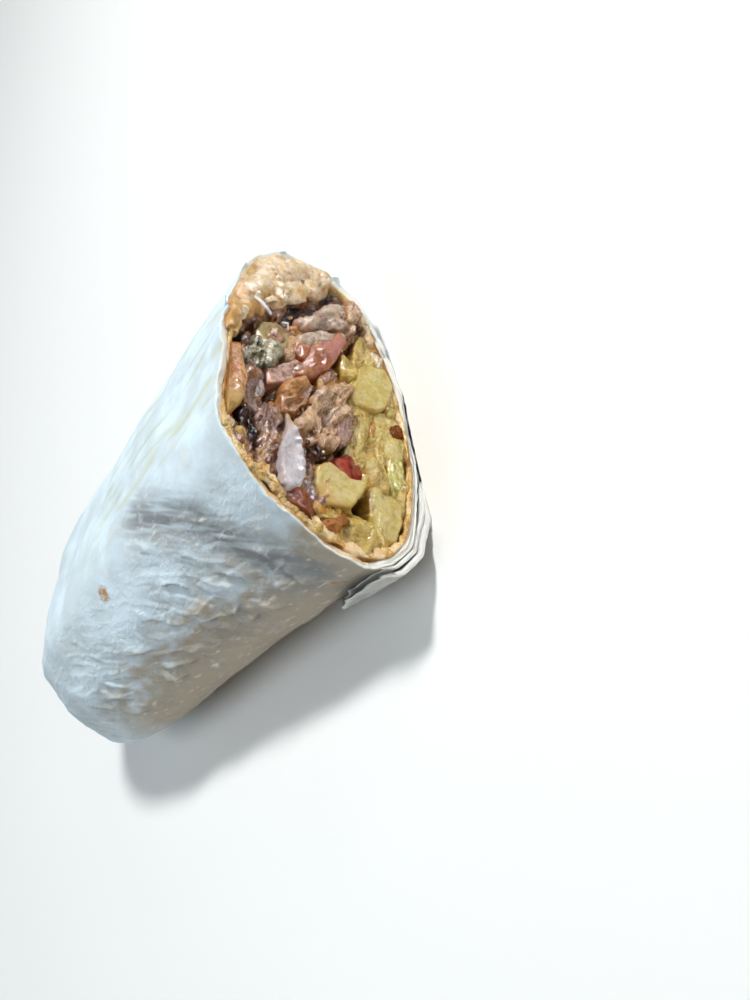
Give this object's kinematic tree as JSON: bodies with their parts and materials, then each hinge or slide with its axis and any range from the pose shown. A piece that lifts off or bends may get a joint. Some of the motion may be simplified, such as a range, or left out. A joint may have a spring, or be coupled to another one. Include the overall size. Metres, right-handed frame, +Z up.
{
  "type": "doner kebab wrap half",
  "caption": "Half of a grilled flatbread wrap, cut across, packed with doner chicken, fries, pickles and creamy slaw; lies on its broad side.",
  "frame": {"origin": "middle of the bounding box's underside, on the surface that the wrap lies on", "axes": "+X along the wrap from its closed end to its cut face, +Z up out of the broad side, +Y across"},
  "size_m": [0.1256, 0.0802, 0.0476],
  "materials": {
    "bread": "dry, floury flatbread",
    "chicken": "moist roast chicken with sauce",
    "fries": "soft fried potato",
    "slaw": "creamy sauce with cabbage",
    "tomato": "wet",
    "onion": "wet, translucent",
    "pickle": "wet",
    "turnip": "wet",
    "pepper": "soft, moist"
  },
  "bodies": {
    "root": {"flatbread": "bread", "doner_chicken": "chicken", "fries": "fries", "creamy_slaw": "slaw", "tomato_dice": "tomato", "tomato_slice": "tomato", "onion_piece": "onion", "pickle_slice": "pickle", "pickled_turnip": "turnip", "pickled_pepper": "pepper"}
  },
  "joints": []
}
